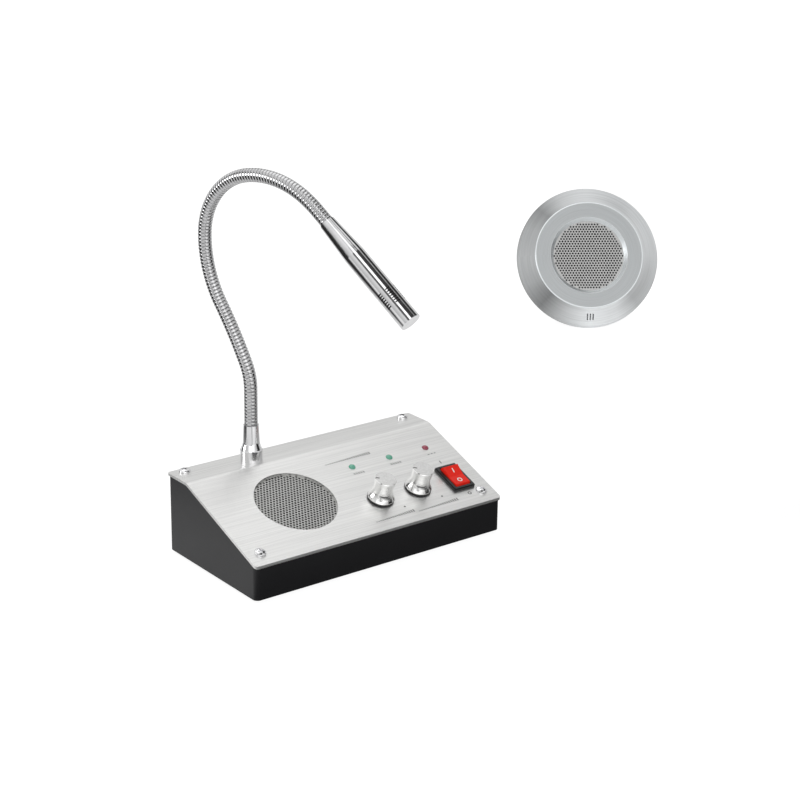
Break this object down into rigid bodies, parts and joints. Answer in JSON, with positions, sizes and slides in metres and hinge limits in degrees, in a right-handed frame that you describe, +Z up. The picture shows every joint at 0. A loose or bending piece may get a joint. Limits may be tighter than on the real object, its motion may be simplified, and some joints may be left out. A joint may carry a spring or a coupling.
{
  "type": "teller window intercom",
  "caption": "Counter intercom for a teller window: sloping desk unit with a gooseneck microphone, knobs and a rocker switch, and a round speaker unit for the far side of the glass",
  "frame": {"origin": "on the counter under the centre of the desk unit's faceplate", "axes": "+X to the teller's right, +Y away from the teller, +Z up"},
  "size_m": [0.5446, 0.3573, 0.217],
  "materials": {
    "housing_plastic": "fine-grained charcoal moulding",
    "brushed_faceplate": "brushed along the width, satin",
    "plated_screw": "bright plated",
    "foot_rubber": "matt black",
    "pressed_steel": "zinc plated",
    "speaker_paper": "matt black pulp",
    "magnet": "dark ferrite and plated plates",
    "plated_nut": "bright zinc",
    "board": "green solder mask",
    "capacitor_sleeve": "dark blue sleeve",
    "black_plastic": "satin black",
    "heat_sink": "extruded, plain",
    "spacer_metal": "nickel plated",
    "green_lens": "diffused green",
    "red_lens": "diffused red",
    "knob_metal": "turned, anodised",
    "rocker_red": "translucent red",
    "neck_chrome": "polished",
    "capsule": "plain can",
    "foam": "open-cell foam",
    "unit_metal": "spun, satin"
  },
  "bodies": {
    "desk_unit": {"housing": "housing_plastic", "faceplate": "brushed_faceplate", "faceplate_screws": "plated_screw", "rubber_feet": "foot_rubber", "speaker_grille": "brushed_faceplate", "speaker_basket": "pressed_steel", "speaker_cone": "speaker_paper", "speaker_magnet": "magnet", "speaker_clamps": "pressed_steel", "speaker_clamp_nuts": "plated_nut", "main_board": "board", "board_screws": "plated_screw", "capacitors": "capacitor_sleeve", "amplifier_chip": "black_plastic", "heat_sink": "heat_sink", "indicator_board": "board", "indicator_spacers": "spacer_metal", "green_lamps": "green_lens", "red_lamp": "red_lens", "inside_volume_control": "pressed_steel", "outside_volume_control": "pressed_steel", "volume_control_nuts": "plated_nut", "switch_frame": "black_plastic", "switch_terminals": "spacer_metal", "neck_socket": "neck_chrome", "neck_nut": "plated_nut", "neck_hose_1": "neck_chrome", "line_socket": "black_plastic", "power_socket": "black_plastic", "socket_nuts": "plated_nut", "window_flange": "unit_metal", "window_ring": "unit_metal", "window_grille": "unit_metal", "window_basket": "pressed_steel", "window_cone": "speaker_paper", "window_magnet": "magnet", "window_back_plate": "black_plastic", "window_back_screws": "plated_screw", "window_microphone": "capsule", "window_line_socket": "black_plastic", "window_gasket": "foam"},
    "inside_volume_knob": {"inside_shaft": "knob_metal", "inside_knob_core": "black_plastic", "inside_knob": "knob_metal"},
    "outside_volume_knob": {"outside_shaft": "knob_metal", "outside_knob_core": "black_plastic", "outside_knob": "knob_metal"},
    "power_rocker": {"switch_rocker": "rocker_red"},
    "neck_link_2": {"neck_hose_2": "neck_chrome"},
    "neck_link_3": {"neck_hose_3": "neck_chrome"},
    "neck_link_4": {"neck_hose_4": "neck_chrome"},
    "neck_link_5": {"neck_hose_5": "neck_chrome"},
    "microphone": {"neck_hose_6": "neck_chrome", "microphone_barrel": "neck_chrome", "microphone_end_cap": "neck_chrome", "microphone_capsule": "capsule", "microphone_foam": "foam"}
  },
  "joints": [
    {"name": "inside_volume_turn", "type": "hinge", "parent": "desk_unit", "child": "inside_volume_knob", "pos_m": [0.0145, -0.0217, 0.03052], "axis": [0, -0.3534, 0.9355], "range_deg": [-210, 90]},
    {"name": "outside_volume_turn", "type": "hinge", "parent": "desk_unit", "child": "outside_volume_knob", "pos_m": [0.0411, -0.0217, 0.03052], "axis": [0, -0.3534, 0.9355], "range_deg": [-210, 90]},
    {"name": "power_rock", "type": "hinge", "parent": "desk_unit", "child": "power_rocker", "pos_m": [0.0677, -0.02182, 0.0294], "axis": [1, 0, 0], "range_deg": [-20, 0]},
    {"name": "neck_nod_1", "type": "hinge", "parent": "desk_unit", "child": "neck_link_2", "pos_m": [-0.03689, 0.0375, 0.10621], "axis": [0.9659, 0.2588, 0], "range_deg": [-15, 15]},
    {"name": "neck_sway_2", "type": "hinge", "parent": "neck_link_2", "child": "neck_link_3", "pos_m": [-0.04185, 0.05603, 0.13888], "axis": [-0.2217, 0.8272, -0.5163], "range_deg": [-15, 15]},
    {"name": "neck_nod_3", "type": "hinge", "parent": "neck_link_3", "child": "neck_link_4", "pos_m": [-0.04427, 0.06506, 0.17508], "axis": [0.9659, 0.2588, 0], "range_deg": [-15, 15]},
    {"name": "neck_sway_4", "type": "hinge", "parent": "neck_link_4", "child": "neck_link_5", "pos_m": [-0.03953, 0.04736, 0.20664], "axis": [-0.1391, 0.5191, 0.8433], "range_deg": [-15, 15]},
    {"name": "neck_nod_5", "type": "hinge", "parent": "neck_link_5", "child": "microphone", "pos_m": [-0.03005, 0.01198, 0.21244], "axis": [0.9659, 0.2588, 0], "range_deg": [-15, 15]}
  ]
}
